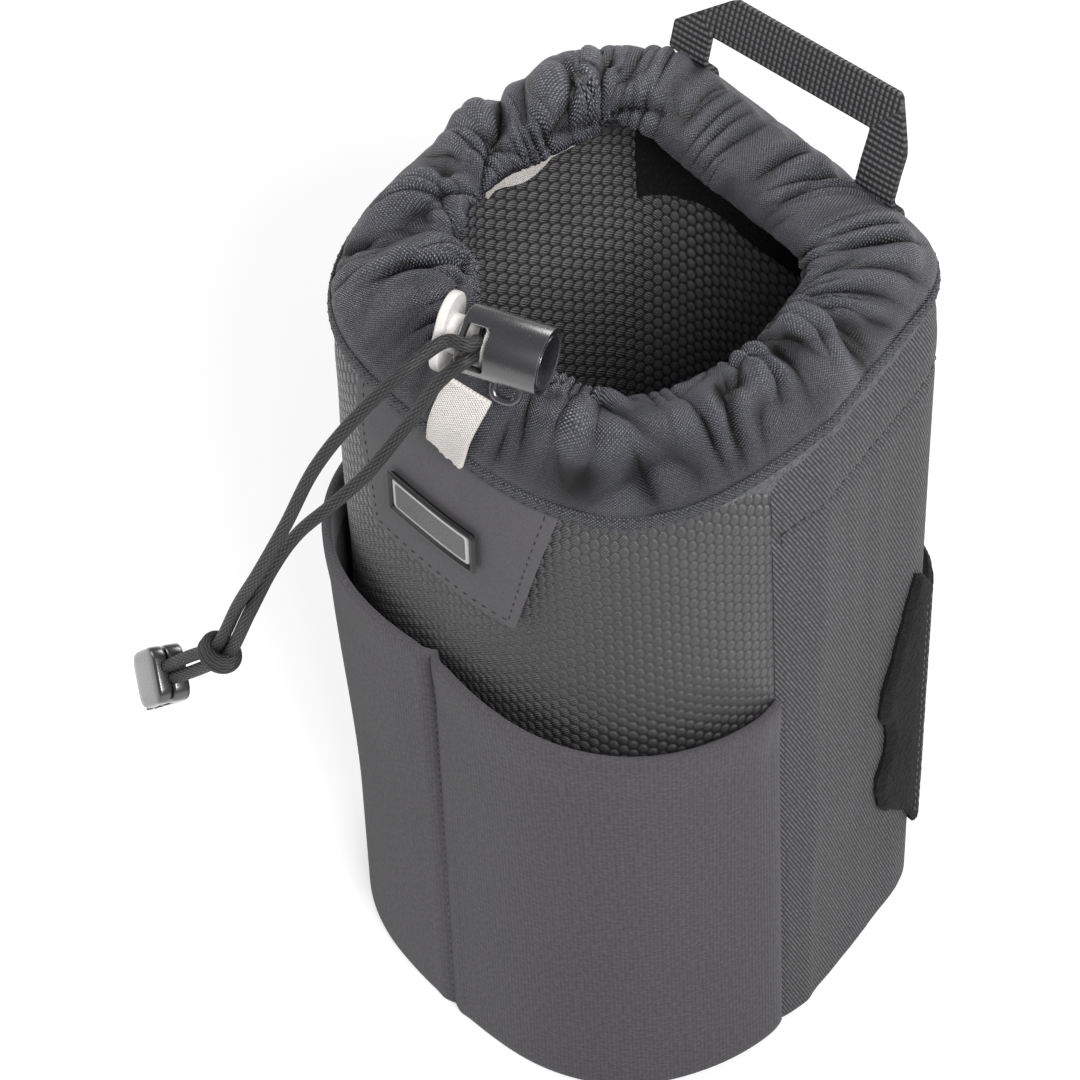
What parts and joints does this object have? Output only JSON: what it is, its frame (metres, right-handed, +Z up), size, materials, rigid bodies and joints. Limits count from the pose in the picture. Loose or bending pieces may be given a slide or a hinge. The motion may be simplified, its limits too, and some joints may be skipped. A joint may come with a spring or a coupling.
{
  "type": "lens pouch",
  "caption": "Tall padded pouch with a gathered drawcord mouth, sprung cord lock, stretch front pocket, webbing handle and hook-and-loop belt flap.",
  "frame": {"origin": "centre of the base on the ground, at the middle of the box without the free cord", "axes": "+Z up through the mouth, -Y towards the front pocket, +X to the pouch's left hand side as it is worn"},
  "size_m": [0.1378, 0.1683, 0.2551],
  "materials": {
    "honeycomb_cloth": "matt honeycomb weave",
    "twill_cloth": "matt twill",
    "gathered_cloth": "matt coarse weave",
    "stretch_cloth": "matt smooth stretch cloth",
    "lining_cloth": "honeycomb weave",
    "loop_cloth": "brushed loop pile",
    "foam": "closed cell foam",
    "smooth_patch": "smooth grained",
    "rubber_frame": "satin",
    "badge_metal": "satin silver, blank",
    "dark_plastic": "satin",
    "pale_plastic": "satin",
    "grey_tape": "woven tape",
    "cord": "braided",
    "webbing": "woven webbing",
    "spring_steel": "bright wire",
    "hook_tape": "hook tape"
  },
  "bodies": {
    "pouch": {"front_panel": "honeycomb_cloth", "side_panel_right": "twill_cloth", "side_panel_left": "twill_cloth", "back_panel": "twill_cloth", "base_panel": "twill_cloth", "base_foam": "foam", "wall_foam": "foam", "lining_wall": "lining_cloth", "lining_floor": "lining_cloth", "lining_loop_patch": "loop_cloth", "collar": "gathered_cloth", "collar_seam_band": "gathered_cloth", "collar_inner_tape": "grey_tape", "drawcord_ring": "cord", "pocket_panel": "stretch_cloth", "pocket_rim": "stretch_cloth", "leather_patch": "smooth_patch", "badge_frame": "rubber_frame", "badge_plate": "badge_metal", "lock_barrel": "dark_plastic", "lock_end_disc": "dark_plastic", "lock_spring": "spring_steel", "lock_tether": "grey_tape", "cord_strand_a": "cord", "cord_strand_b": "cord", "cord_knot": "cord", "cord_tail_a": "cord", "cord_tail_b": "cord", "cord_end_base": "dark_plastic", "handle_foot_left": "webbing", "handle_foot_right": "webbing", "handle_tack_left": "webbing", "handle_tack_right": "webbing", "back_pad": "loop_cloth", "landing_strip": "loop_cloth", "flap_top_bar": "webbing"},
    "plunger": {"lock_plunger": "pale_plastic"},
    "flap": {"belt_flap": "loop_cloth", "flap_binding": "webbing", "flap_hook_strip": "hook_tape"},
    "handle_loop": {"handle": "webbing"},
    "clip_lid": {"cord_end_lid": "dark_plastic"}
  },
  "joints": [
    {"name": "plunger_press", "type": "slide", "parent": "pouch", "child": "plunger", "axis": [0.9135, 0.4067, 0], "range_m": [0, 0.0032], "stiffness_N_per_m": 900, "springref_m": -0.002, "deforming": ["lock_spring"]},
    {"name": "belt_flap_open", "type": "hinge", "parent": "pouch", "child": "flap", "pos_m": [0, 0.0689, 0.11], "axis": [1, 0, 0], "range_deg": [0, 150]},
    {"name": "handle_swing", "type": "hinge", "parent": "pouch", "child": "handle_loop", "pos_m": [-0.0085, 0.0602, 0.2206], "axis": [1, 0, 0], "range_deg": [-95, 0], "stiffness_Nm_per_rad": 0.003},
    {"name": "clip_lid_open", "type": "hinge", "parent": "pouch", "child": "clip_lid", "pos_m": [-0.06835, -0.09281, 0.09134], "axis": [0.7149, -0.4064, -0.569], "range_deg": [0, 100]}
  ]
}
